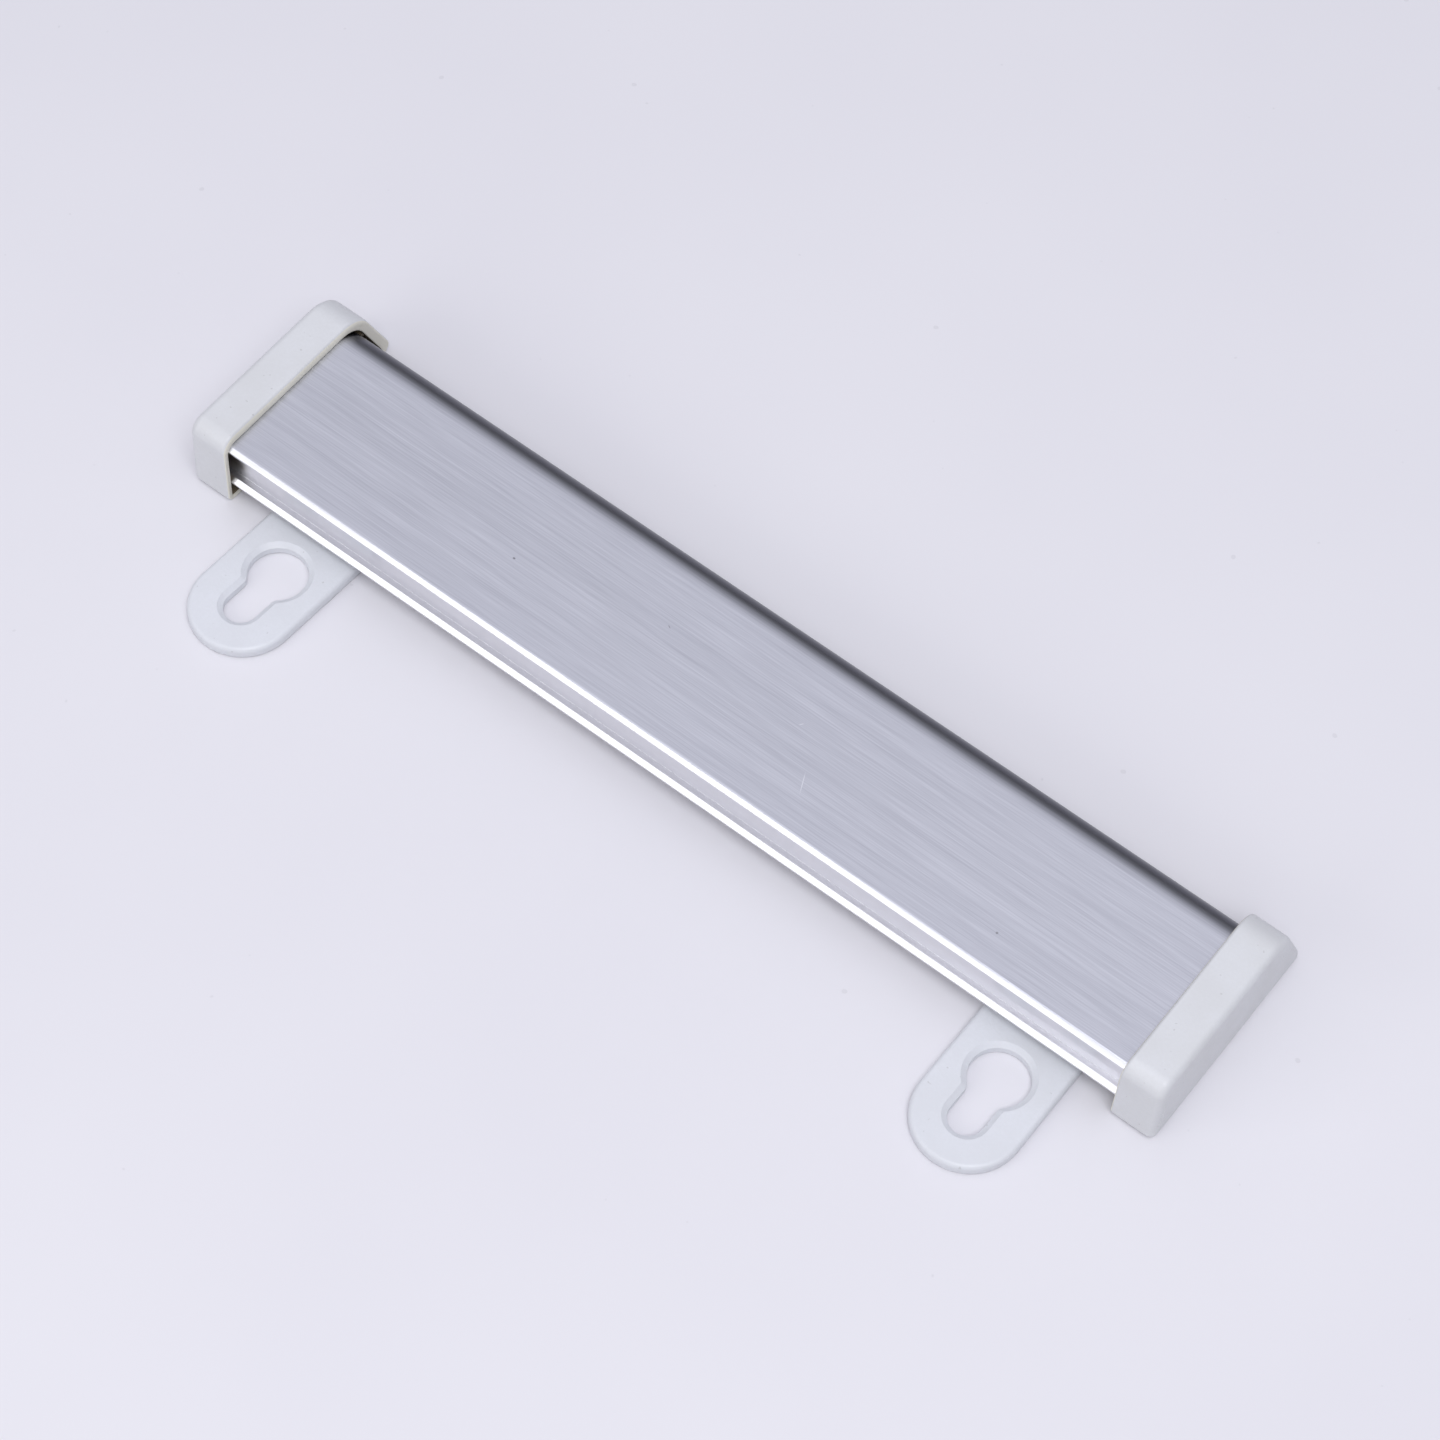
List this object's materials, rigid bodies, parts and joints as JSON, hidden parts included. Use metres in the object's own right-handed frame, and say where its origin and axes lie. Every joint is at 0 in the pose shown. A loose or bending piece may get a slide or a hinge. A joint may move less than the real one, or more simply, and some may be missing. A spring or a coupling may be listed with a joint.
{
  "type": "hanging paper rail",
  "caption": "Satin aluminium rail that grips sheets of paper with loose glass balls behind its face, with push-on plastic end caps and sliding keyhole tabs to hang it by.",
  "frame": {"origin": "middle of the object's box at the plane of the wall, which is also the table when the rail lies on its back", "axes": "+X along the rail, -Y towards its upper edge and the hanger tabs, +Z out of the brushed face"},
  "size_m": [0.201, 0.067, 0.017],
  "materials": {
    "brushed_aluminium": "satin, brushed along its length, clear anodised",
    "cap_plastic": "moulded, soft satin, off-white",
    "tab_plastic": "moulded, soft satin, cool white",
    "ball_glass": "clear, faintly green"
  },
  "bodies": {
    "rail": {"rail_extrusion": "brushed_aluminium", "left_end_cap": "cap_plastic", "right_end_cap": "cap_plastic"},
    "left_tab": {"left_hanger_tab": "tab_plastic"},
    "right_tab": {"right_hanger_tab": "tab_plastic"},
    "ball_01": {"glass_ball_01": "ball_glass"},
    "ball_02": {"glass_ball_02": "ball_glass"},
    "ball_03": {"glass_ball_03": "ball_glass"},
    "ball_04": {"glass_ball_04": "ball_glass"},
    "ball_05": {"glass_ball_05": "ball_glass"},
    "ball_06": {"glass_ball_06": "ball_glass"},
    "ball_07": {"glass_ball_07": "ball_glass"},
    "ball_08": {"glass_ball_08": "ball_glass"},
    "ball_09": {"glass_ball_09": "ball_glass"},
    "ball_10": {"glass_ball_10": "ball_glass"},
    "ball_11": {"glass_ball_11": "ball_glass"},
    "ball_12": {"glass_ball_12": "ball_glass"},
    "ball_13": {"glass_ball_13": "ball_glass"},
    "ball_14": {"glass_ball_14": "ball_glass"},
    "ball_15": {"glass_ball_15": "ball_glass"}
  },
  "joints": [
    {"name": "left_tab_slide", "type": "slide", "parent": "rail", "child": "left_tab", "axis": [1, 0, 0], "range_m": [-0.006, 0.064]},
    {"name": "right_tab_slide", "type": "slide", "parent": "rail", "child": "right_tab", "axis": [1, 0, 0], "range_m": [-0.064, 0.006]},
    {"name": "ball_01_lift", "type": "slide", "parent": "rail", "child": "ball_01", "axis": [0, -1, 0], "range_m": [0, 0.014]},
    {"name": "ball_02_lift", "type": "slide", "parent": "rail", "child": "ball_02", "axis": [0, -1, 0], "range_m": [0, 0.014]},
    {"name": "ball_03_lift", "type": "slide", "parent": "rail", "child": "ball_03", "axis": [0, -1, 0], "range_m": [0, 0.014]},
    {"name": "ball_04_lift", "type": "slide", "parent": "rail", "child": "ball_04", "axis": [0, -1, 0], "range_m": [0, 0.014]},
    {"name": "ball_05_lift", "type": "slide", "parent": "rail", "child": "ball_05", "axis": [0, -1, 0], "range_m": [0, 0.014]},
    {"name": "ball_06_lift", "type": "slide", "parent": "rail", "child": "ball_06", "axis": [0, -1, 0], "range_m": [0, 0.014]},
    {"name": "ball_07_lift", "type": "slide", "parent": "rail", "child": "ball_07", "axis": [0, -1, 0], "range_m": [0, 0.014]},
    {"name": "ball_08_lift", "type": "slide", "parent": "rail", "child": "ball_08", "axis": [0, -1, 0], "range_m": [0, 0.014]},
    {"name": "ball_09_lift", "type": "slide", "parent": "rail", "child": "ball_09", "axis": [0, -1, 0], "range_m": [0, 0.014]},
    {"name": "ball_10_lift", "type": "slide", "parent": "rail", "child": "ball_10", "axis": [0, -1, 0], "range_m": [0, 0.014]},
    {"name": "ball_11_lift", "type": "slide", "parent": "rail", "child": "ball_11", "axis": [0, -1, 0], "range_m": [0, 0.014]},
    {"name": "ball_12_lift", "type": "slide", "parent": "rail", "child": "ball_12", "axis": [0, -1, 0], "range_m": [0, 0.014]},
    {"name": "ball_13_lift", "type": "slide", "parent": "rail", "child": "ball_13", "axis": [0, -1, 0], "range_m": [0, 0.014]},
    {"name": "ball_14_lift", "type": "slide", "parent": "rail", "child": "ball_14", "axis": [0, -1, 0], "range_m": [0, 0.014]},
    {"name": "ball_15_lift", "type": "slide", "parent": "rail", "child": "ball_15", "axis": [0, -1, 0], "range_m": [0, 0.014]}
  ]
}
